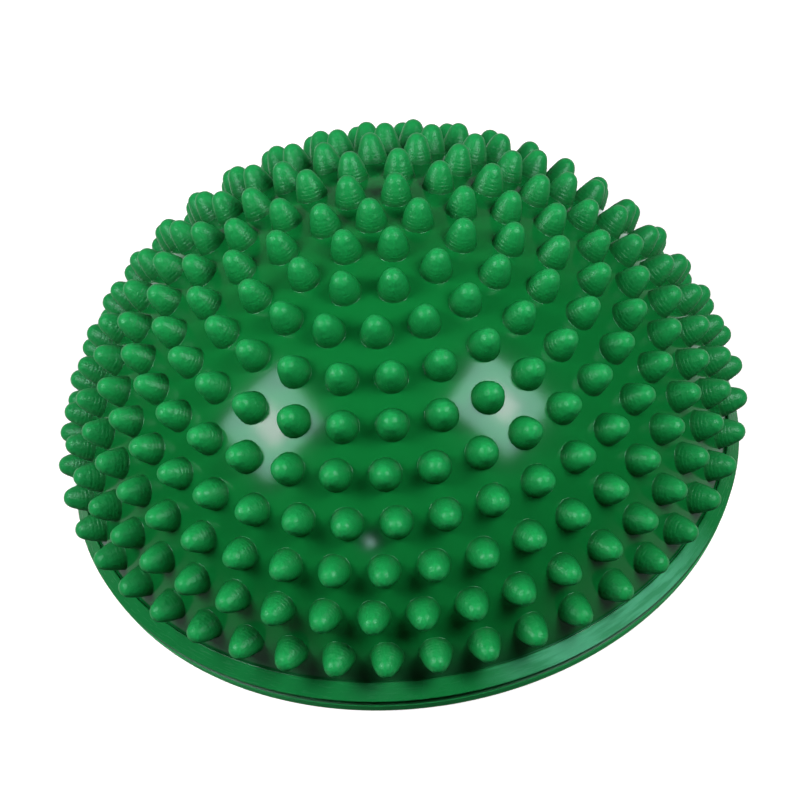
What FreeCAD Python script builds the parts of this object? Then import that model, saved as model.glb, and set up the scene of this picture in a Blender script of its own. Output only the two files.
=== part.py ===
import FreeCAD, Part
import math
import os

# Balance pad: a hollow PVC half-ball covered in blunt massage spikes, on a flat bonded base,
# with a push-in air stopper in the middle of the underside.
# Millimetres. The origin is the centre of the base on the floor, and +Z points up.

Vector = FreeCAD.Vector
UP = Vector(0, 0, 1)

# Skin of the dome: part of a ball whose centre lies a little below the floor
SKIN_RADIUS = 78.1
SKIN_CENTRE_Z = -4.9
SKIN_WALL = 3.0

# Spikes, in rings round the pole
SPIKE_LENGTH = 6.5
SPIKE_BASE_RADIUS = 3.6
SPIKE_TIP_RADIUS = 2.35
SPIKE_SHOULDER_LEAN_DEG = 27.0
SPIKE_SINK = 1.2
RING_STEP_DEG = 7.53
SPIKE_PITCH = 10.6
RING_TURNS_DEG = [52.0, 7.5, 5.5, 3.0, 10.5, 3.0, 3.5, 2.0, 1.0, 6.0]

# Rim band at the foot of the dome
BAND_TOP_RADIUS = 77.5
BAND_TOP_Z = 8.4
RIM_RADIUS = 80.0
RIM_Z = 4.8
RIM_UNDERCUT = 1.6
BAND_EDGE_BEVEL = 0.25
EDGE_BEVEL = 0.5

# Base plate and the lip that shows below the rim
BASE_THICKNESS = 3.4
LIP_TOP_RADIUS = 79.5
LIP_BOTTOM_RADIUS = 78.6
GRIP_GROOVE_RADII = [30.0, 45.0, 60.0]
GRIP_GROOVE_WIDTH = 1.6
GRIP_GROOVE_DEPTH = 0.7
BOSS_RADIUS = 18.0
BOSS_TOP_Z = 6.0
RECESS_RADIUS = 11.0
RECESS_DEPTH = 2.2

# Valve seat: a soft sleeve bonded into the boss
SEAT_RADIUS = 6.5
SEAT_FLANGE_RADIUS = 10.0
SEAT_FLANGE_THICKNESS = 2.0
SEAT_TOP_Z = 18.0
SEAT_BORE_RADIUS = 3.4

# Stopper
PLUG_CLEARANCE = 0.05
PLUG_HEAD_RADIUS = 8.5
PLUG_HEAD_BOTTOM_Z = 0.5
PLUG_HEAD_TOP_Z = 1.9
PLUG_CORE_RADIUS = 2.8
PLUG_TIP_RADIUS = 1.8
PLUG_TIP_Z = 17.0
PLUG_RIB_FIRST_Z = 4.5
PLUG_RIB_SPACING = 3.2
PLUG_RIB_COUNT = 4
PLUG_RIB_WIDTH = 1.2


def at(radius, z):
    """A point of a turned profile, in the XZ plane."""
    return Vector(radius, 0, z)


def line(start, end):
    return Part.LineSegment(start, end).toShape()


def arc(start, middle, end):
    return Part.Arc(start, middle, end).toShape()


def ball_point(radius, angle):
    """A point on a ball about the skin's centre, at an angle from the pole."""
    return at(radius * math.sin(angle), SKIN_CENTRE_Z + radius * math.cos(angle))


def ball_angle(radius, z):
    """The angle from the pole at which such a ball is at a height."""
    return math.acos((z - SKIN_CENTRE_Z) / radius)


def turned(edges):
    """The solid of revolution of a closed profile about Z."""
    face = Part.Face(Part.Wire(edges))
    return face.revolve(Vector(0, 0, 0), UP, 360)


def turned_polygon(points):
    """The solid of revolution of a straight-sided profile given by its corners."""
    return turned([line(a, b) for a, b in zip(points, points[1:] + points[:1])])


def disc(radius, bottom, top):
    return Part.makeCylinder(radius, top - bottom, Vector(0, 0, bottom))


def ring(inner, outer, bottom, top):
    return disc(outer, bottom, top).cut(disc(inner, bottom, top))


def spike():
    """One spike on the Z axis, with the skin at height 0 and its foot sunk into the wall.

    The rounded tip ends at a shoulder, and the flank is an arc that leaves it without a kink.
    """
    tip_centre = SPIKE_LENGTH - SPIKE_TIP_RADIUS
    lean = math.radians(SPIKE_SHOULDER_LEAN_DEG)
    shoulder = at(SPIKE_TIP_RADIUS * math.cos(lean), tip_centre + SPIKE_TIP_RADIUS * math.sin(lean))
    tip_middle_angle = (lean + math.pi / 2) / 2
    tip_middle = at(
        SPIKE_TIP_RADIUS * math.cos(tip_middle_angle),
        tip_centre + SPIKE_TIP_RADIUS * math.sin(tip_middle_angle),
    )
    foot = at(SPIKE_BASE_RADIUS, 0)
    chord = shoulder - foot
    chord_lean = math.atan2(foot.x - shoulder.x, shoulder.z)
    bulge = chord.Length / 2 * math.tan((lean - chord_lean) / 2)
    flank_middle = (foot + shoulder) * 0.5 + at(math.cos(chord_lean), math.sin(chord_lean)) * bulge
    sunk_edge = at(SPIKE_BASE_RADIUS, -SPIKE_SINK)
    sunk_centre = at(0, -SPIKE_SINK)
    tip = at(0, SPIKE_LENGTH)
    return turned([
        line(sunk_centre, sunk_edge),
        line(sunk_edge, foot),
        arc(foot, flank_middle, shoulder),
        arc(shoulder, tip_middle, tip),
        line(tip, sunk_centre),
    ])


def spikes_in_ring(tilt):
    """How many spikes a ring holds at the common spacing."""
    return round(2 * math.pi * SKIN_RADIUS * math.sin(tilt) / SPIKE_PITCH)


def placed_spike(pattern, tilt, azimuth):
    """The spike stood on the skin, square to it."""
    copy = pattern.copy()
    copy.translate(Vector(0, 0, SKIN_RADIUS))
    copy.rotate(Vector(0, 0, 0), Vector(0, 1, 0), math.degrees(tilt))
    copy.rotate(Vector(0, 0, 0), UP, math.degrees(azimuth))
    copy.translate(Vector(0, 0, SKIN_CENTRE_Z))
    return copy


def all_spikes():
    pattern = spike()
    spikes = [placed_spike(pattern, 0, 0)]
    for number, turn in enumerate(RING_TURNS_DEG, start=1):
        tilt = math.radians(RING_STEP_DEG * number)
        count = spikes_in_ring(tilt)
        for place in range(count):
            azimuth = math.radians(turn) + 2 * math.pi * place / count
            spikes.append(placed_spike(pattern, tilt, azimuth))
    return spikes


def dome_skin():
    """The plain hollow dome with its rim band, without spikes."""
    inner_radius = SKIN_RADIUS - SKIN_WALL
    outer_end = ball_angle(SKIN_RADIUS, BAND_TOP_Z)
    inner_end = ball_angle(inner_radius, BASE_THICKNESS)
    pole = ball_point(SKIN_RADIUS, 0)
    band_root = ball_point(SKIN_RADIUS, outer_end)
    band_top_outer = at(BAND_TOP_RADIUS, BAND_TOP_Z - BAND_EDGE_BEVEL)
    band_top_inner = at(BAND_TOP_RADIUS - BAND_EDGE_BEVEL, BAND_TOP_Z)
    rim = at(RIM_RADIUS, RIM_Z)
    undercut = at(RIM_RADIUS - RIM_UNDERCUT, BASE_THICKNESS)
    inner_foot = ball_point(inner_radius, inner_end)
    inner_pole = ball_point(inner_radius, 0)
    return turned([
        arc(pole, ball_point(SKIN_RADIUS, outer_end / 2), band_root),
        line(band_root, band_top_inner),
        line(band_top_inner, band_top_outer),
        line(band_top_outer, rim),
        line(rim, undercut),
        line(undercut, inner_foot),
        arc(inner_foot, ball_point(inner_radius, inner_end / 2), inner_pole),
        line(inner_pole, pole),
    ])


def dome_shell():
    return dome_skin().multiFuse(all_spikes())


def base_plate():
    """The bonded base, with its grip grooves and the boss and recess for the valve."""
    plate = turned_polygon([
        at(0, 0),
        at(LIP_BOTTOM_RADIUS - EDGE_BEVEL, 0),
        at(LIP_BOTTOM_RADIUS, EDGE_BEVEL),
        at(LIP_TOP_RADIUS, BASE_THICKNESS - EDGE_BEVEL),
        at(RIM_RADIUS - RIM_UNDERCUT, BASE_THICKNESS),
        at(BOSS_RADIUS, BASE_THICKNESS),
        at(BOSS_RADIUS, BOSS_TOP_Z),
        at(0, BOSS_TOP_Z),
    ])
    for radius in GRIP_GROOVE_RADII:
        plate = plate.cut(ring(radius, radius + GRIP_GROOVE_WIDTH, 0, GRIP_GROOVE_DEPTH))
    plate = plate.cut(disc(RECESS_RADIUS, 0, RECESS_DEPTH))
    return plate.cut(disc(SEAT_RADIUS, 0, BOSS_TOP_Z))


def valve_seat():
    """The sleeve in the boss, with a flange that lies on top of it."""
    sleeve = disc(SEAT_RADIUS, RECESS_DEPTH, SEAT_TOP_Z)
    flange = disc(SEAT_FLANGE_RADIUS, BOSS_TOP_Z, BOSS_TOP_Z + SEAT_FLANGE_THICKNESS)
    bore = disc(SEAT_BORE_RADIUS, 0, SEAT_TOP_Z)
    return sleeve.fuse(flange).cut(bore).removeSplitter()


def valve_plug():
    """The stopper: a flat head and a pointed stem with sealing ribs."""
    rib_radius = SEAT_BORE_RADIUS - PLUG_CLEARANCE
    point_height = PLUG_CORE_RADIUS - PLUG_TIP_RADIUS
    shoulder_z = PLUG_TIP_Z - point_height
    stem = disc(PLUG_CORE_RADIUS, PLUG_HEAD_TOP_Z, shoulder_z)
    point = Part.makeCone(PLUG_CORE_RADIUS, PLUG_TIP_RADIUS, point_height, Vector(0, 0, shoulder_z))
    head = disc(PLUG_HEAD_RADIUS, PLUG_HEAD_BOTTOM_Z, PLUG_HEAD_TOP_Z)
    ribs = []
    for number in range(PLUG_RIB_COUNT):
        bottom = PLUG_RIB_FIRST_Z + number * PLUG_RIB_SPACING
        ribs.append(disc(rib_radius, bottom, bottom + PLUG_RIB_WIDTH))
    return head.multiFuse([stem, point] + ribs).removeSplitter()


PARTS = {
    "dome_shell": dome_shell,
    "base_plate": base_plate,
    "valve_seat": valve_seat,
    "valve_plug": valve_plug,
}

os.makedirs("parts", exist_ok=True)
for name, build in PARTS.items():
    shape = build()
    print(name, "valid", shape.isValid(), "solids", len(shape.Solids), "volume", round(shape.Volume))
    shape.exportStep("parts/" + name + ".step")
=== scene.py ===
import math

import bpy
import numpy as np
from mathutils import Matrix, Vector
from mathutils.geometry import delaunay_2d_cdt


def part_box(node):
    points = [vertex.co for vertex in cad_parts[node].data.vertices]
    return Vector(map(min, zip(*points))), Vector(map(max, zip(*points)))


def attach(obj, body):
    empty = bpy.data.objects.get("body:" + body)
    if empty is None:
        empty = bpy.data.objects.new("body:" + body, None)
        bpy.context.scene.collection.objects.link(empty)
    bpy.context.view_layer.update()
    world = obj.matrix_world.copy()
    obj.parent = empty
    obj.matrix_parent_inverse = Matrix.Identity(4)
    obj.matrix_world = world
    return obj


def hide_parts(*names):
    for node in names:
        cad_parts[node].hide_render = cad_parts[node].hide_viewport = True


# Balance pad: a hollow half-ball of soft green PVC covered in blunt massage spikes, on a bonded base
# with a white push-in stopper underneath. Metres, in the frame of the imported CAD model.

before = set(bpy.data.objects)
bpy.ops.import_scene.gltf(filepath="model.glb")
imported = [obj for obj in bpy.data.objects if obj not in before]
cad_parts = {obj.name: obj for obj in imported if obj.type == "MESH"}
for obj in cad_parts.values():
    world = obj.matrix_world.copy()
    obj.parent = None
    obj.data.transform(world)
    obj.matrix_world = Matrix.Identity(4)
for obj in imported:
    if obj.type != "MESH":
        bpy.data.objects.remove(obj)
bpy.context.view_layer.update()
MM = 0.001
TURN = 2 * math.pi

# Skin of the dome
SKIN_RADIUS = 78.1 * MM
SKIN_WALL = 3.0 * MM

# Spikes, in rings round the pole
SPIKE_LENGTH = 6.5 * MM
SPIKE_BASE_RADIUS = 3.6 * MM
SPIKE_TIP_RADIUS = 2.35 * MM
SPIKE_SHOULDER_LEAN = math.radians(27.0)
SPIKE_FILLET = 0.18 * MM
SPIKE_SEGMENTS = 18
SPIKE_TIP_STEPS = 4
SKIN_FILL_CLEARANCE = 0.8 * MM
RING_STEP = math.radians(7.53)
SPIKE_PITCH = 10.6 * MM
RING_TURNS_DEG = [52.0, 7.5, 5.5, 3.0, 10.5, 3.0, 3.5, 2.0, 1.0, 6.0]

# Turning marks left by the mould round the foot of each spike
MARK_FIRST = 0.75 * MM
MARK_SPACING = 0.8 * MM
MARK_DEPTHS = [0.09 * MM, 0.08 * MM, 0.065 * MM, 0.04 * MM]
MARK_LEAD = 0.8
FINE_MARK_SPACING = 0.42 * MM

# Rim band
BAND_TOP_RADIUS = 77.5 * MM
BAND_TOP_Z = 8.4 * MM
RIM_RADIUS = 80.0 * MM
RIM_Z = 4.8 * MM
CREASE_WIDTH = 0.35 * MM
CREASE_DEPTH = 0.50 * MM
RIM_UNDERCUT = 1.6 * MM
RIM_SEGMENTS = 216

# Painted light: a painted sheen on a stretch of the rim band, and painted shade on the skin above the
# band at the front
SHEEN_ANGLE = math.radians(-59)
FRONT_SHADE_ANGLE = math.radians(-102)

# Base plate
BASE_THICKNESS = 3.4 * MM
LIP_TOP_RADIUS = 79.5 * MM
LIP_BOTTOM_RADIUS = 78.6 * MM
GRIP_GROOVE_RADII = [30.0 * MM, 45.0 * MM, 60.0 * MM]
GRIP_GROOVE_WIDTH = 1.6 * MM
GRIP_GROOVE_DEPTH = 0.7 * MM
BOSS_RADIUS = 18.0 * MM
BOSS_TOP_Z = 6.0 * MM
RECESS_RADIUS = 11.0 * MM
RECESS_DEPTH = 2.2 * MM

# Valve seat and stopper
SEAT_RADIUS = 6.5 * MM
SEAT_FLANGE_RADIUS = 10.0 * MM
SEAT_FLANGE_TOP_Z = 8.0 * MM
SEAT_TOP_Z = 18.0 * MM
SEAT_BORE_RADIUS = 3.4 * MM
PLUG_RIB_RADIUS = 3.35 * MM
PLUG_HEAD_RADIUS = 8.5 * MM
PLUG_HEAD_BOTTOM_Z = 0.5 * MM
PLUG_HEAD_TOP_Z = 1.9 * MM
PLUG_CORE_RADIUS = 2.8 * MM
PLUG_TIP_RADIUS = 1.8 * MM
PLUG_TIP_Z = 17.0 * MM
PLUG_RIB_FIRST_Z = 4.5 * MM
PLUG_RIB_SPACING = 3.2 * MM
PLUG_RIB_COUNT = 4
PLUG_RIB_WIDTH = 1.2 * MM

# Floor, which curves up into a wall, in metres
FLOOR_RADIUS = 2.5
COVE_RADIUS = 1.5
WALL_TOP_Z = 6.0

# Camera
CAMERA_AIM = Vector((0.4 * MM, 0, 18.3 * MM))
CAMERA_DISTANCE = 560.5 * MM
CAMERA_ELEVATION = math.radians(43.68)
CAMERA_ROLL = math.radians(-8.56)
CAMERA_LENS_MM = 106.38

# Lights: each soft box is cool at its edge, with a smaller, warmer core in front of it
BOX_COLOUR = (0.62, 1.0, 0.96)
CORE_COLOUR = (1.0, 0.68, 0.80)

# Smoothing and meshing
CORNER_STEPS = 4
SMALL_TURN_SEGMENTS = 64

SKIN_CENTRE = Vector((0, 0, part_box("dome_shell")[1].z - SPIKE_LENGTH - SKIN_RADIUS))


# ---------------------------------------------------------------- turned profiles

def rounded(corners):
    """A profile through (radius, z, rounding) corners, with a curve of about that radius at each."""
    points = []
    for place, (r, z, rounding) in enumerate(corners):
        here = Vector((r, z))
        if rounding == 0 or place in (0, len(corners) - 1):
            points.append(here)
            continue
        back = Vector(corners[place - 1][:2]) - here
        ahead = Vector(corners[place + 1][:2]) - here
        half_angle = back.angle(ahead) / 2
        reach = min(rounding / math.tan(half_angle), back.length * 0.45, ahead.length * 0.45)
        start = here + back.normalized() * reach
        end = here + ahead.normalized() * reach
        for step in range(CORNER_STEPS + 1):
            t = step / CORNER_STEPS
            points.append(start.lerp(here, t).lerp(here.lerp(end, t), t))
    return np.array(points)


def profile_normals(profile, closed):
    """The outward normal (radial, z) at each point of a profile with the solid on its left."""
    runs = np.diff(np.vstack([profile, profile[:1]]), axis=0)
    normals = np.stack([runs[:, 1], -runs[:, 0]], axis=1)
    if not closed:
        normals[-1] = 0
    mean = normals + np.roll(normals, 1, axis=0)
    return mean / np.linalg.norm(mean, axis=1)[:, None]


def spun(pairs, count):
    """(radius, z) pairs turned about Z into rows of points."""
    angles = np.arange(count) * TURN / count
    x = pairs[:, :1] * np.cos(angles)
    y = pairs[:, :1] * np.sin(angles)
    z = np.repeat(pairs[:, 1:], count, axis=1)
    return np.stack([x, y, z], axis=2)


class Builder:
    """Collects points, their normals and their marks, and the faces between them.

    A mark is a height up a spike, from 0 at the skin to 1 at the tip, or -1 in the crease, where the
    paint puts painted shade.
    """

    def __init__(self):
        self.points = []
        self.normals = []
        self.marks = []
        self.faces = []

    def add(self, points, normals, marks=None):
        first = len(self.points)
        self.points.extend(points)
        self.normals.extend(normals)
        self.marks.extend([0.0] * len(points) if marks is None else marks)
        return list(range(first, len(self.points)))

    def bridge(self, row, following):
        """Quads between two rows, seen anticlockwise with the following row on the left."""
        for here, there in zip(range(-1, len(row) - 1), range(len(row))):
            self.faces.append((row[here], row[there], following[there], following[here]))

    def fan(self, row, tip):
        for here, there in zip(range(-1, len(row) - 1), range(len(row))):
            self.faces.append((row[here], row[there], tip))

    def finish(self, name):
        mesh = bpy.data.meshes.new(name)
        mesh.from_pydata(self.points, [], self.faces)
        mesh.shade_smooth()
        mesh.normals_split_custom_set_from_vertices(self.normals)
        marks = mesh.attributes.new("mark", "FLOAT", "POINT")
        marks.data.foreach_set("value", self.marks)
        piece = bpy.data.objects.new(name, mesh)
        bpy.context.scene.collection.objects.link(piece)
        return piece


def add_turned_rows(builder, profile, normals, count, marks=None):
    """Adds a row of points for each point of the profile, or one point where it meets the axis."""
    if marks is None:
        marks = np.zeros(len(profile))
    rows = []
    for place, (radius, _) in enumerate(profile):
        point_row = spun(profile[place:place + 1], count)[0]
        normal_row = spun(normals[place:place + 1], count)[0]
        if radius < 1e-9:
            point_row = point_row[:1]
            normal_row = [(0, 0, math.copysign(1, normal_row[0][2]))]
        row_marks = [marks[place]] * len(point_row)
        rows.append(builder.add(point_row.tolist(), list(normal_row), row_marks))
    return rows


def join_rows(builder, rows):
    """Faces from each row to the next, for a profile with the solid on its left."""
    for row, following in zip(rows, rows[1:]):
        if len(row) == 1:
            builder.fan(following[::-1], row[0])
        elif len(following) == 1:
            builder.fan(row, following[0])
        else:
            builder.bridge(row, following)


def turned_piece(name, profile, count, closed):
    builder = Builder()
    rows = add_turned_rows(builder, profile, profile_normals(profile, closed), count)
    join_rows(builder, rows + rows[:1] if closed else rows)
    return builder.finish(name)


# ---------------------------------------------------------------- dome

def spike_places():
    """The rotation that carries the pole of the dome to each spike."""
    places = [Matrix.Identity(3)]
    for number, turn in enumerate(RING_TURNS_DEG, start=1):
        tilt = RING_STEP * number
        count = round(TURN * SKIN_RADIUS * math.sin(tilt) / SPIKE_PITCH)
        for place in range(count):
            azimuth = math.radians(turn) + TURN * place / count
            places.append(Matrix.Rotation(azimuth, 3, "Z") @ Matrix.Rotation(tilt, 3, "Y"))
    return places


def skin_drop(radius):
    """How far the skin lies below a spike's foot plane at a distance from its axis."""
    return SKIN_RADIUS - math.sqrt(SKIN_RADIUS ** 2 - radius ** 2)


def flank(height, inset=0.0):
    """A point of the bulging flank, which meets the rounded tip without a kink at the shoulder."""
    shoulder_radius, shoulder_height = tip_point(SPIKE_SHOULDER_LEAN)
    drop = SPIKE_BASE_RADIUS - shoulder_radius
    chord_lean = math.atan2(drop, shoulder_height)
    bulge = math.hypot(drop, shoulder_height) / 2 * math.tan((SPIKE_SHOULDER_LEAN - chord_lean) / 2)
    t = height / shoulder_height
    return SPIKE_BASE_RADIUS - drop * t + 4 * bulge * t * (1 - t) - inset, height


def tip_point(angle):
    """A point of the rounded tip, at an angle above its widest level."""
    level = SPIKE_LENGTH - SPIKE_TIP_RADIUS + SPIKE_TIP_RADIUS * math.sin(angle)
    return SPIKE_TIP_RADIUS * math.cos(angle), level


def spike_profile():
    """A spike's outline from the skin up to its tip, with the turning marks on its flank."""
    hole_radius = SPIKE_BASE_RADIUS + SPIKE_FILLET
    outline = [(hole_radius, -skin_drop(hole_radius))]
    outline.append((SPIKE_BASE_RADIUS + SPIKE_FILLET * 0.3, SPIKE_FILLET * 0.18))
    outline.append(flank(SPIKE_FILLET))
    for number, depth in enumerate(MARK_DEPTHS):
        ledge = MARK_FIRST + number * MARK_SPACING
        outline.append(flank(ledge))
        outline.append(flank(ledge + MARK_SPACING * 0.25, depth))
    shoulder_height = tip_point(SPIKE_SHOULDER_LEAN)[1]
    outline.append(flank((shoulder_height + ledge + MARK_SPACING) / 2))
    for angle in np.linspace(SPIKE_SHOULDER_LEAN, math.pi / 2, SPIKE_TIP_STEPS + 1)[:-1]:
        outline.append(tip_point(angle))
    outline.append((0, SPIKE_LENGTH))
    return np.array(outline)


def spike_normals(outline):
    """Each point's normal. At the turning marks it leans to the run below the point, so they show."""
    first_mark = 3
    runs = np.diff(np.vstack([outline, outline[-1:] + [-1, 0]]), axis=0)
    runs /= np.linalg.norm(runs, axis=1)[:, None]
    normals = np.stack([runs[:, 1], -runs[:, 0]], axis=1)
    lead = np.full((len(outline), 1), 0.5)
    lead[first_mark:first_mark + 2 * len(MARK_DEPTHS)] = MARK_LEAD
    mean = normals * (1 - lead) + np.roll(normals, 1, axis=0) * lead
    return mean / np.linalg.norm(mean, axis=1)[:, None]


def on_plane(points):
    """Directions from the skin's centre, drawn on a plane so that circles stay circles."""
    return points[..., :2] * 2 / (1 + points[..., 2:])


def skin_fill_points(axes, hole_radius):
    """Points that fill the wider gaps between spikes."""
    clear = (hole_radius + SKIN_FILL_CLEARANCE) / SKIN_RADIUS
    lowest = (BAND_TOP_Z + 1.2 * MM - SKIN_CENTRE.z) / SKIN_RADIUS
    circle = spun(np.array([[math.sin(clear * 1.02), math.cos(clear * 1.02)]]), 9)[0]
    found = []
    for place in spike_places():
        for point in circle @ np.array(place).T:
            inside = point[2] > lowest
            far_from_spikes = (axes @ point).max() < math.cos(clear)
            far_from_found = not found or (np.array(found) @ point).max() < math.cos(clear * 0.2)
            if inside and far_from_spikes and far_from_found:
                found.append(point)
    return np.array(found)


def add_skin(builder, places, hole_radius):
    """The skin between the spikes, as triangles. Returns the rows round each spike and at the rim."""
    angle = math.asin(hole_radius / SKIN_RADIUS)
    hole = spun(np.array([[math.sin(angle), math.cos(angle)]]), SPIKE_SEGMENTS)[0]
    directions = [hole @ np.array(place).T for place in places]
    rim_z = (BAND_TOP_Z - SKIN_CENTRE.z) / SKIN_RADIUS
    directions.append(spun(np.array([[math.sqrt(1 - rim_z ** 2), rim_z]]), RIM_SEGMENTS)[0])
    axes = np.array([place.col[2] for place in places])
    directions.append(skin_fill_points(axes, hole_radius))
    owners = np.repeat(np.arange(len(directions)), [len(d) for d in directions])
    flat = on_plane(np.vstack(directions))

    rows = []
    for group in directions:
        points = group * SKIN_RADIUS + np.array(SKIN_CENTRE)
        rows.append(builder.add(points.tolist(), list(group)))
    borders = [(row[here - 1], row[here]) for row in rows[:-1] for here in range(len(row))]
    _, _, triangles, sources, _, _ = delaunay_2d_cdt([Vector(p) for p in flat], borders, [], 0, 1e-9)
    for triangle in triangles:
        a, b, c = (sources[corner][0] for corner in triangle)
        if not (owners[a] == owners[b] == owners[c] and owners[a] < len(places)):
            builder.faces.append((a, b, c))
    return rows[:len(places)], rows[len(places)]


def add_spike(builder, foot_row, place, profile, normals):
    turn = np.array(place).T
    centre = np.array(SKIN_CENTRE)
    rows = [foot_row]
    heights = profile[:, 1] / SPIKE_LENGTH
    lifted = profile + np.array([0, SKIN_RADIUS])
    for level in range(1, len(profile)):
        points = spun(lifted[level:level + 1], SPIKE_SEGMENTS)[0] @ turn + centre
        directions = spun(normals[level:level + 1], SPIKE_SEGMENTS)[0] @ turn
        if level == len(profile) - 1:
            points = points[:1]
            directions = [place.col[2]]
        rows.append(builder.add(points.tolist(), list(directions), [heights[level]] * len(points)))
    join_rows(builder, rows)


def rim_profile():
    """From the crease at the foot of the skin out over the band, under it and up the inside."""
    inner_radius = SKIN_RADIUS - SKIN_WALL
    crease_radius = math.sqrt(SKIN_RADIUS ** 2 - (BAND_TOP_Z - SKIN_CENTRE.z) ** 2)
    inner_foot = math.sqrt(inner_radius ** 2 - (BASE_THICKNESS - SKIN_CENTRE.z) ** 2)
    outline = rounded([
        (crease_radius, BAND_TOP_Z, 0),
        (crease_radius + CREASE_WIDTH * 0.4, BAND_TOP_Z - CREASE_DEPTH, 0.05 * MM),
        (crease_radius + CREASE_WIDTH, BAND_TOP_Z, 0.1 * MM),
        (BAND_TOP_RADIUS, BAND_TOP_Z, 0.2 * MM),
        (RIM_RADIUS, RIM_Z, 0.35 * MM),
        (RIM_RADIUS - RIM_UNDERCUT, BASE_THICKNESS, 0.1 * MM),
        (inner_foot, BASE_THICKNESS, 0),
    ])
    start = math.acos((BASE_THICKNESS - SKIN_CENTRE.z) / inner_radius)
    angles = np.linspace(start, 0, 11)[1:]
    heights = SKIN_CENTRE.z + inner_radius * np.cos(angles)
    inside = np.stack([inner_radius * np.sin(angles), heights], axis=1)
    return np.vstack([outline, inside])


def dome():
    builder = Builder()
    places = spike_places()
    outline = spike_profile()
    outline_normals = spike_normals(outline)
    foot_rows, rim_row = add_skin(builder, places, outline[0][0])
    for place, foot_row in zip(places, foot_rows):
        add_spike(builder, foot_row, place, outline, outline_normals)
    band = rim_profile()
    band_normals = -profile_normals(band, closed=False)
    # Rows deep in the crease get the mark -1, which the dome's paint turns into painted shade.
    crease_painted_shade = (band[:, 0] < BAND_TOP_RADIUS) & (band[:, 1] < BAND_TOP_Z - 0.6 * CREASE_DEPTH)
    marks = np.where(crease_painted_shade & (band[:, 1] > RIM_Z), -1.0, 0.0)
    rows = add_turned_rows(builder, band[1:], band_normals[1:], RIM_SEGMENTS, marks[1:])
    join_rows(builder, [row[::-1] for row in [rim_row] + rows])
    return builder.finish("dome")


# ---------------------------------------------------------------- base, seat and stopper

def base_outline():
    """The plate's section, from the hole along the underside, round the lip and back over the top."""
    edge = 0.2 * MM
    corners = [
        (SEAT_RADIUS, BOSS_TOP_Z, 0),
        (SEAT_RADIUS, RECESS_DEPTH, 0),
        (RECESS_RADIUS, RECESS_DEPTH, 0.5 * MM),
        (RECESS_RADIUS, 0, 0.4 * MM),
    ]
    for radius in GRIP_GROOVE_RADII:
        corners += [
            (radius, 0, edge),
            (radius, GRIP_GROOVE_DEPTH, edge),
            (radius + GRIP_GROOVE_WIDTH, GRIP_GROOVE_DEPTH, edge),
            (radius + GRIP_GROOVE_WIDTH, 0, edge),
        ]
    corners += [
        (LIP_BOTTOM_RADIUS, 0, 0.6 * MM),
        (LIP_TOP_RADIUS, BASE_THICKNESS - 0.5 * MM, 0.4 * MM),
        (RIM_RADIUS - RIM_UNDERCUT, BASE_THICKNESS, 0.2 * MM),
        (BOSS_RADIUS, BASE_THICKNESS, edge),
        (BOSS_RADIUS, BOSS_TOP_Z, edge),
        (SEAT_RADIUS + edge, BOSS_TOP_Z, 0),
    ]
    return rounded(corners)


def seat_outline():
    edge = 0.25 * MM
    return rounded([
        (SEAT_BORE_RADIUS, SEAT_TOP_Z - 1 * MM, 0),
        (SEAT_BORE_RADIUS, RECESS_DEPTH, 0.3 * MM),
        (SEAT_RADIUS, RECESS_DEPTH, edge),
        (SEAT_RADIUS, BOSS_TOP_Z, 0.02 * MM),
        (SEAT_FLANGE_RADIUS, BOSS_TOP_Z, edge),
        (SEAT_FLANGE_RADIUS, SEAT_FLANGE_TOP_Z, edge),
        (SEAT_RADIUS, SEAT_FLANGE_TOP_Z, edge),
        (SEAT_RADIUS, SEAT_TOP_Z, edge),
        (SEAT_BORE_RADIUS, SEAT_TOP_Z, edge),
        (SEAT_BORE_RADIUS, SEAT_TOP_Z - 0.5 * MM, 0),
    ])


def plug_outline():
    """The stopper's outline, from the middle of its head out, up the stem and in to the tip."""
    corners = [
        (0, PLUG_HEAD_BOTTOM_Z, 0),
        (PLUG_HEAD_RADIUS, PLUG_HEAD_BOTTOM_Z, 0.5 * MM),
        (PLUG_HEAD_RADIUS, PLUG_HEAD_TOP_Z, 0.3 * MM),
        (PLUG_CORE_RADIUS, PLUG_HEAD_TOP_Z, 0.3 * MM),
    ]
    for number in range(PLUG_RIB_COUNT):
        bottom = PLUG_RIB_FIRST_Z + number * PLUG_RIB_SPACING
        corners += [
            (PLUG_CORE_RADIUS, bottom, 0.1 * MM),
            (PLUG_RIB_RADIUS, bottom + 0.3 * MM, 0.2 * MM),
            (PLUG_RIB_RADIUS, bottom + PLUG_RIB_WIDTH, 0.2 * MM),
            (PLUG_CORE_RADIUS, bottom + PLUG_RIB_WIDTH, 0.1 * MM),
        ]
    corners += [
        (PLUG_CORE_RADIUS, PLUG_TIP_Z - (PLUG_CORE_RADIUS - PLUG_TIP_RADIUS), 0.4 * MM),
        (PLUG_TIP_RADIUS, PLUG_TIP_Z, 0.3 * MM),
        (0, PLUG_TIP_Z, 0),
    ]
    return rounded(corners)


# ---------------------------------------------------------------- materials

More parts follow.
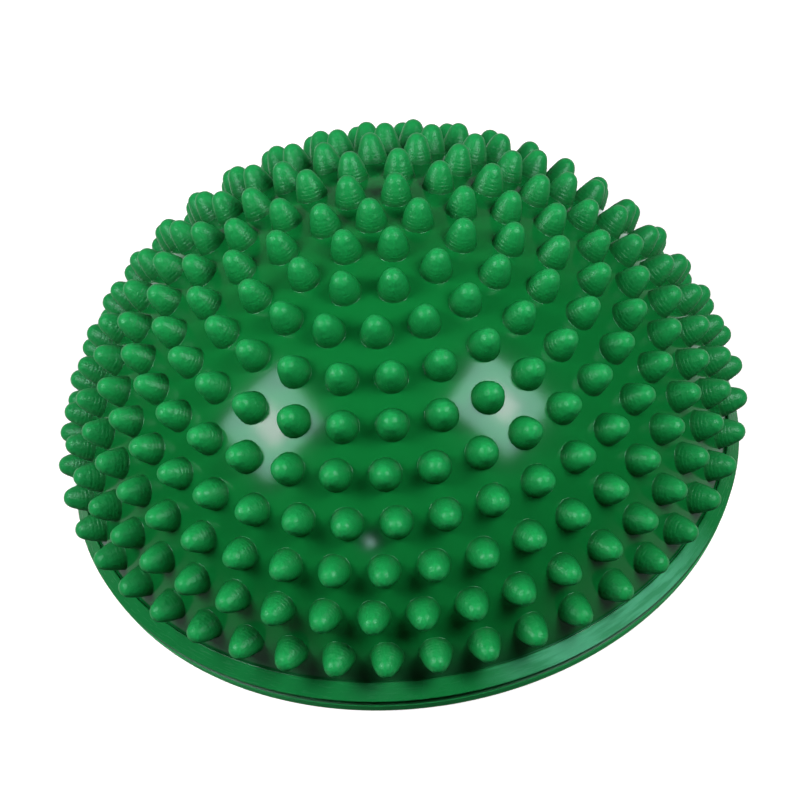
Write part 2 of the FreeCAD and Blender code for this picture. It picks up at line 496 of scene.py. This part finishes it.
class Paint:
    """Short calls for building a material's nodes."""

    def __init__(self, name):
        self.material = bpy.data.materials.new(name)
        self.material.use_nodes = True
        self.tree = self.material.node_tree
        self.shader = self.tree.nodes["Principled BSDF"]
        self.place = self.node("ShaderNodeTexCoord").outputs["Object"]

    def node(self, kind, **settings):
        made = self.tree.nodes.new(kind)
        for name, value in settings.items():
            setattr(made, name, value)
        return made

    def put(self, socket, value):
        """Links an output to an input, or sets the input."""
        if isinstance(value, bpy.types.NodeSocket):
            self.tree.links.new(value, socket)
        else:
            socket.default_value = value

    def split_place(self):
        made = self.node("ShaderNodeSeparateXYZ")
        self.put(made.inputs[0], self.place)
        return made.outputs

    def math(self, operation, a, b=0.0, clamp=False):
        made = self.node("ShaderNodeMath", operation=operation, use_clamp=clamp)
        self.put(made.inputs[0], a)
        self.put(made.inputs[1], b)
        return made.outputs[0]

    def noise(self, scale, detail=3.0, place=None):
        made = self.node("ShaderNodeTexNoise")
        self.put(made.inputs["Vector"], place or self.place)
        made.inputs["Scale"].default_value = scale
        made.inputs["Detail"].default_value = detail
        return made.outputs["Fac"]

    def spread(self, value, low, high, to_low, to_high):
        """Maps a value's range to another, held at its ends."""
        made = self.node("ShaderNodeMapRange", clamp=True)
        for number, part in enumerate((value, low, high, to_low, to_high)):
            self.put(made.inputs[number], part)
        return made.outputs[0]

    def mix(self, share, a, b):
        made = self.node("ShaderNodeMix", data_type="RGBA")
        for socket, value in zip((made.inputs[0], made.inputs[6], made.inputs[7]), (share, a, b)):
            self.put(socket, value)
        return made.outputs[2]

    def bump(self, height, distance, under=None):
        """Adds a bump of that depth on top of another one."""
        made = self.node("ShaderNodeBump")
        self.put(made.inputs["Height"], height)
        made.inputs["Distance"].default_value = distance
        if under is not None:
            self.put(made.inputs["Normal"], under)
        return made.outputs["Normal"]


def set_pvc(shader, ior, subsurface, depth):
    """The constants of soft, slightly translucent PVC."""
    shader.inputs["IOR"].default_value = ior
    shader.inputs["Subsurface Weight"].default_value = subsurface
    shader.inputs["Subsurface Radius"].default_value = (0.35, 1.0, 0.5)
    shader.inputs["Subsurface Scale"].default_value = depth


def around_the_rim(paint, x, y, z):
    """Coordinates that run with the rim, for long scuffs and the streaks of the painted sheen, and the
    angle round it.
    """
    angle = paint.math("ARCTAN2", y, x)
    joined = paint.node("ShaderNodeCombineXYZ")
    paint.put(joined.inputs["X"], paint.math("MULTIPLY", angle, RIM_RADIUS * 0.1))
    paint.put(joined.inputs["Y"], z)
    return joined.outputs[0], angle


def near_angle(paint, angle, middle, none_at, full_at):
    """1 near an angle round the rim, falling to 0 further from it. Distances in degrees."""
    away = paint.math("ABSOLUTE", paint.math("SUBTRACT", angle, middle))
    return paint.spread(away, math.radians(none_at), math.radians(full_at), 0.0, 1.0)


def dome_paint():
    """Glossy green PVC: glassy skin, spikes a little duller with fine turning marks, a scuffed band.
    Painted shade darkens the spike feet, the crease and the skin above the band at the front; painted
    light makes the spike tips paler and lays a painted sheen on a stretch of the band.
    """
    paint = Paint("dome_pvc")
    attribute = paint.node("ShaderNodeAttribute", attribute_name="mark")
    height = attribute.outputs["Fac"]
    on_spike = paint.spread(height, 0.0, 0.012, 0.0, 1.0)
    # Painted shade: the foot of each spike, which the paint darkens.
    painted_foot_shade = paint.math("MULTIPLY", on_spike, paint.spread(height, 0.02, 0.16, 1.0, 0.0))
    # Painted shade: the crease at the foot of the skin, darkened by the paint.
    crease_painted_shade = paint.spread(height, 0.0, -1.0, 0.0, 1.0)
    x, y, z = paint.split_place()
    rim_place, angle = around_the_rim(paint, x, y, z)
    on_band = paint.spread(z, BAND_TOP_Z, BAND_TOP_Z - 0.2 * MM, 0.0, 1.0)
    # Painted sheen: a paler, bluish stretch of the band standing in for a lamp's reflection, broken into
    # streaks.
    painted_sheen = near_angle(paint, angle, SHEEN_ANGLE, 26, 12)
    sheen_streaks = paint.spread(paint.noise(900.0, 6.0, rim_place), 0.40, 0.55, 0.55, 1.0)
    painted_sheen = paint.math("MULTIPLY", paint.math("MULTIPLY", painted_sheen, on_band), sheen_streaks)
    low_down = paint.spread(z, BAND_TOP_Z + 9 * MM, BAND_TOP_Z + 1 * MM, 0.0, 1.0)
    on_skin = paint.spread(paint.math("ADD", on_spike, on_band), 0.0, 1.0, 1.0, 0.0)
    # Painted shade: darkens and greys the skin low down at the front, just above the band.
    painted_front_shade = near_angle(paint, angle, FRONT_SHADE_ANGLE, 45, 20)
    painted_front_shade = paint.math("MULTIPLY", paint.math("MULTIPLY", painted_front_shade, low_down), on_skin)

    clouds = paint.noise(45.0)
    grain = paint.noise(1050.0, 4.0)
    peel = paint.noise(420.0, 2.0)
    scuffs = paint.spread(paint.noise(2600.0, 6.0, rim_place), 0.56, 0.72, 0.0, 1.0)
    scuffs = paint.math("MULTIPLY", scuffs, on_band)

    deep = (0.0032, 0.112, 0.021, 1)
    fresh = (0.0042, 0.136, 0.026, 1)
    painted_tip_light = (0.0105, 0.245, 0.058, 1)
    # Of these layers, the first, second and last are painted shade and the fourth is a painted sheen; the
    # band tint and the scuffs are the PVC's own colour and wear.
    layers = [
        (painted_foot_shade, 0.45, (0.0012, 0.060, 0.010, 1)),
        (painted_front_shade, 0.6, (0.0200, 0.068, 0.031, 1)),
        (on_band, 0.8, (0.0095, 0.172, 0.042, 1)),
        (painted_sheen, 0.8, (0.125, 0.420, 0.240, 1)),
        (scuffs, 0.15, (0.03, 0.22, 0.07, 1)),
        (crease_painted_shade, 0.85, (0.0010, 0.025, 0.006, 1)),
    ]
    green = paint.mix(clouds, deep, fresh)
    # Painted light and shade: the spikes are painted paler towards their tips and darker towards their
    # feet.
    green = paint.mix(paint.spread(height, 0.1, 0.9, 0.0, 1.0), green, painted_tip_light)
    for where, share, colour in layers:
        green = paint.mix(paint.math("MULTIPLY", where, share), green, colour)
    paint.put(paint.shader.inputs["Base Color"], green)

    smooth = paint.spread(clouds, 0.3, 0.7, 0.12, 0.16)
    dull = paint.spread(grain, 0.3, 0.7, 0.33, 0.43)
    rough = paint.spread(on_spike, 0.0, 1.0, smooth, dull)
    rough = paint.math("ADD", rough, paint.math("MULTIPLY", paint.math("ADD", painted_foot_shade, crease_painted_shade), 0.3))
    rough = paint.math("ADD", rough, paint.math("MULTIPLY", on_band, 0.12))
    rough = paint.math("ADD", rough, paint.math("MULTIPLY", scuffs, 0.1), clamp=True)
    paint.put(paint.shader.inputs["Roughness"], rough)

    waves = paint.math("SINE", paint.math("MULTIPLY", height, SPIKE_LENGTH * TURN / FINE_MARK_SPACING))
    fade = paint.spread(height, 0.06, 0.8, 1.0, 0.0)
    marks = paint.math("MULTIPLY", waves, paint.math("MULTIPLY", fade, on_spike))
    normal = paint.bump(peel, 0.008 * MM)
    normal = paint.bump(paint.math("MULTIPLY", grain, on_spike), 0.21 * MM, under=normal)
    normal = paint.bump(marks, 0.009 * MM, under=normal)
    normal = paint.bump(scuffs, 0.02 * MM, under=normal)
    paint.put(paint.shader.inputs["Normal"], normal)
    set_pvc(paint.shader, 1.5, 0.08, 0.8 * MM)
    paint.shader.inputs["Specular IOR Level"].default_value = 0.23
    return paint.material


def base_paint():
    """The same PVC, satin and slightly pebbled, with worn patches; painted shade darkens the lip's top
    edge under the rim and painted light makes the lip's wall below it paler.
    """
    paint = Paint("base_pvc")
    flat = paint.node("ShaderNodeVectorMath", operation="MULTIPLY")
    paint.put(flat.inputs[0], paint.place)
    paint.put(flat.inputs[1], (1, 1, 0))
    length = paint.node("ShaderNodeVectorMath", operation="LENGTH")
    paint.put(length.inputs[0], flat.outputs["Vector"])
    out = length.outputs["Value"]
    on_lip = paint.spread(out, RIM_RADIUS - 1.8 * MM, RIM_RADIUS - 1.5 * MM, 0.0, 1.0)
    below_edge = paint.spread(paint.split_place()["Z"], 2.95 * MM, 2.75 * MM, 0.0, 1.0)
    lip_wall_painted_light = paint.math("MULTIPLY", on_lip, below_edge)
    clouds = paint.noise(60.0)
    pebbles = paint.noise(1500.0, 4.0)
    worn = paint.spread(paint.noise(110.0, 8.0), 0.52, 0.70, 0.0, 1.0)
    green = paint.mix(clouds, (0.0030, 0.150, 0.027, 1), (0.0042, 0.180, 0.034, 1))
    # Painted shade: the lip's top edge under the rim is darkened.
    green = paint.mix(paint.math("MULTIPLY", on_lip, 0.8), green, (0.0020, 0.050, 0.011, 1))
    # Painted light: the lip's wall below that edge is painted paler.
    green = paint.mix(lip_wall_painted_light, green, (0.0300, 0.460, 0.115, 1))
    green = paint.mix(paint.math("MULTIPLY", worn, 0.25), green, (0.03, 0.20, 0.07, 1))
    paint.put(paint.shader.inputs["Base Color"], green)
    paint.put(paint.shader.inputs["Roughness"], paint.spread(worn, 0.0, 1.0, 0.42, 0.56))
    normal = paint.bump(pebbles, 0.03 * MM)
    paint.put(paint.shader.inputs["Normal"], paint.bump(clouds, 0.1 * MM, under=normal))
    set_pvc(paint.shader, 1.5, 0.12, 1.0 * MM)
    paint.shader.inputs["Specular IOR Level"].default_value = 0.3
    return paint.material


def seat_paint():
    """Softer, darker green PVC with a matt surface."""
    paint = Paint("seat_pvc")
    clouds = paint.noise(150.0)
    fine = paint.noise(2500.0, 4.0)
    paint.put(paint.shader.inputs["Base Color"],
              paint.mix(clouds, (0.003, 0.085, 0.016, 1), (0.004, 0.11, 0.022, 1)))
    paint.put(paint.shader.inputs["Roughness"], paint.spread(fine, 0.3, 0.7, 0.48, 0.62))
    paint.put(paint.shader.inputs["Normal"], paint.bump(fine, 0.02 * MM))
    set_pvc(paint.shader, 1.48, 0.15, 1.0 * MM)
    return paint.material


def plug_paint():
    """Milky white PVC with faint flow marks and a satin surface."""
    paint = Paint("plug_pvc")
    flow = paint.noise(220.0, 5.0)
    fine = paint.noise(3000.0, 3.0)
    paint.put(paint.shader.inputs["Base Color"],
              paint.mix(flow, (0.72, 0.73, 0.70, 1), (0.80, 0.80, 0.78, 1)))
    paint.put(paint.shader.inputs["Roughness"], paint.spread(fine, 0.3, 0.7, 0.32, 0.44))
    paint.put(paint.shader.inputs["Normal"], paint.bump(fine, 0.015 * MM))
    set_pvc(paint.shader, 1.48, 0.3, 1.5 * MM)
    return paint.material


def floor_paint():
    """A warm white, which the cool lamps turn neutral, with a glow that thins the shadows."""
    paint = Paint("pale_floor")
    paint.put(paint.shader.inputs["Base Color"],
              paint.mix(paint.noise(6.0), (0.93, 0.60, 0.63, 1), (0.95, 0.62, 0.65, 1)))
    paint.shader.inputs["Roughness"].default_value = 1.0
    paint.shader.inputs["Specular IOR Level"].default_value = 0.0
    paint.shader.inputs["Emission Color"].default_value = (1.0, 1.0, 1.0, 1)
    paint.shader.inputs["Emission Strength"].default_value = 0.6
    return paint.material


# ---------------------------------------------------------------- put together

def dress(piece, material, body, node):
    piece.data.materials.append(material)
    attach(piece, body)
    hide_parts(node)


def make_object():
    shell = dome()
    dress(shell, dome_paint(), "pad", "dome_shell")
    plate = turned_piece("base", base_outline(), RIM_SEGMENTS, closed=True)
    dress(plate, base_paint(), "pad", "base_plate")
    seat = turned_piece("seat", seat_outline(), SMALL_TURN_SEGMENTS, closed=True)
    dress(seat, seat_paint(), "pad", "valve_seat")
    plug = turned_piece("plug", plug_outline(), SMALL_TURN_SEGMENTS, closed=False)
    dress(plug, plug_paint(), "stopper", "valve_plug")


def make_floor():
    """A pale floor that curves up into a wall all round. It neither lights the object nor shows in it."""
    outline = [(0, 0)]
    for angle in np.linspace(0, math.pi / 2, 13):
        rise = COVE_RADIUS * (1 - math.cos(angle))
        outline.append((FLOOR_RADIUS + COVE_RADIUS * math.sin(angle), rise))
    outline.append((FLOOR_RADIUS + COVE_RADIUS, WALL_TOP_Z))
    outline = np.array(outline)
    builder = Builder()
    rows = add_turned_rows(builder, outline, -profile_normals(outline, closed=False), SMALL_TURN_SEGMENTS)
    join_rows(builder, [row[::-1] for row in rows])
    floor = builder.finish("floor")
    floor.data.materials.append(floor_paint())
    floor.visible_diffuse = False
    floor.visible_glossy = False


def make_camera():
    data = bpy.data.cameras.new("camera")
    data.lens = CAMERA_LENS_MM
    data.sensor_width = 36
    data.clip_start = 0.01
    camera = bpy.data.objects.new("camera", data)
    back = Vector((0, -math.cos(CAMERA_ELEVATION), math.sin(CAMERA_ELEVATION)))
    turn = Matrix.Rotation(math.pi / 2 - CAMERA_ELEVATION, 4, "X") @ Matrix.Rotation(CAMERA_ROLL, 4, "Z")
    camera.matrix_world = Matrix.Translation(CAMERA_AIM + back * CAMERA_DISTANCE) @ turn
    bpy.context.scene.collection.objects.link(camera)
    bpy.context.scene.camera = camera
    return back


def soft_box(name, to_camera, glint, distance, width, height, power, colour=BOX_COLOUR):
    """A soft box that the skin mirrors to the camera at the glint, a direction from the skin's centre."""
    glint = Vector(glint).normalized()
    mirrored = 2 * to_camera.dot(glint) * glint - to_camera
    start = SKIN_CENTRE + glint * SKIN_RADIUS
    data = bpy.data.lights.new(name, "AREA")
    data.shape = "RECTANGLE"
    data.size = width
    data.size_y = height
    data.energy = power
    data.color = colour
    light = bpy.data.objects.new(name, data)
    light.location = start + mirrored * distance
    light.rotation_euler = mirrored.to_track_quat("Z", "Y").to_euler()
    bpy.context.scene.collection.objects.link(light)


def make_world():
    """A dim room, brighter at the back, and bright low down at the back and at both sides."""
    world = bpy.data.worlds.new("studio")
    world.use_nodes = True
    tree = world.node_tree
    background = tree.nodes["Background"]
    background.inputs["Color"].default_value = (0.90, 1.0, 0.98, 1)
    parts = tree.nodes.new("ShaderNodeSeparateXYZ")
    tree.links.new(tree.nodes.new("ShaderNodeTexCoord").outputs["Generated"], parts.inputs[0])

    def ramp(value, low, high, to_low, to_high):
        made = tree.nodes.new("ShaderNodeMapRange")
        made.interpolation_type = "SMOOTHSTEP"
        for socket, setting in zip(made.inputs, (value, low, high, to_low, to_high)):
            if isinstance(setting, bpy.types.NodeSocket):
                tree.links.new(setting, socket)
            else:
                socket.default_value = setting
        return made.outputs[0]

    aside = tree.nodes.new("ShaderNodeMath")
    aside.operation = "ABSOLUTE"
    tree.links.new(parts.outputs["X"], aside.inputs[0])
    side_strength = ramp(parts.outputs["Z"], 0.0, -0.4, 0.025, 0.55)
    side = ramp(aside.outputs[0], 0.3, 0.9, 0.025, side_strength)
    back_strength = ramp(parts.outputs["Z"], 0.0, -0.5, 0.34, 1.3)
    strength = ramp(parts.outputs["Y"], 0.3, 0.9, side, back_strength)
    tree.links.new(strength, background.inputs["Strength"])
    bpy.context.scene.world = world


def make_light(to_camera):
    soft_box("soft_box_left", to_camera, (-0.38, -0.51, 0.77), 0.5, 0.25, 0.26, 2.6)
    soft_box("core_left", to_camera, (-0.38, -0.52, 0.765), 0.48, 0.11, 0.075, 0.42, CORE_COLOUR)
    soft_box("soft_box_right", to_camera, (0.29, -0.57, 0.77), 0.5, 0.23, 0.26, 2.6)
    soft_box("core_right", to_camera, (0.29, -0.57, 0.77), 0.48, 0.075, 0.11, 0.42, CORE_COLOUR)
    soft_box("speck", to_camera, (-0.143, -0.829, 0.54), 0.9, 0.016, 0.022, 0.13)
    make_world()
    bpy.context.scene.view_settings.view_transform = "Standard"


to_camera = make_camera()
make_light(to_camera)
make_floor()
make_object()
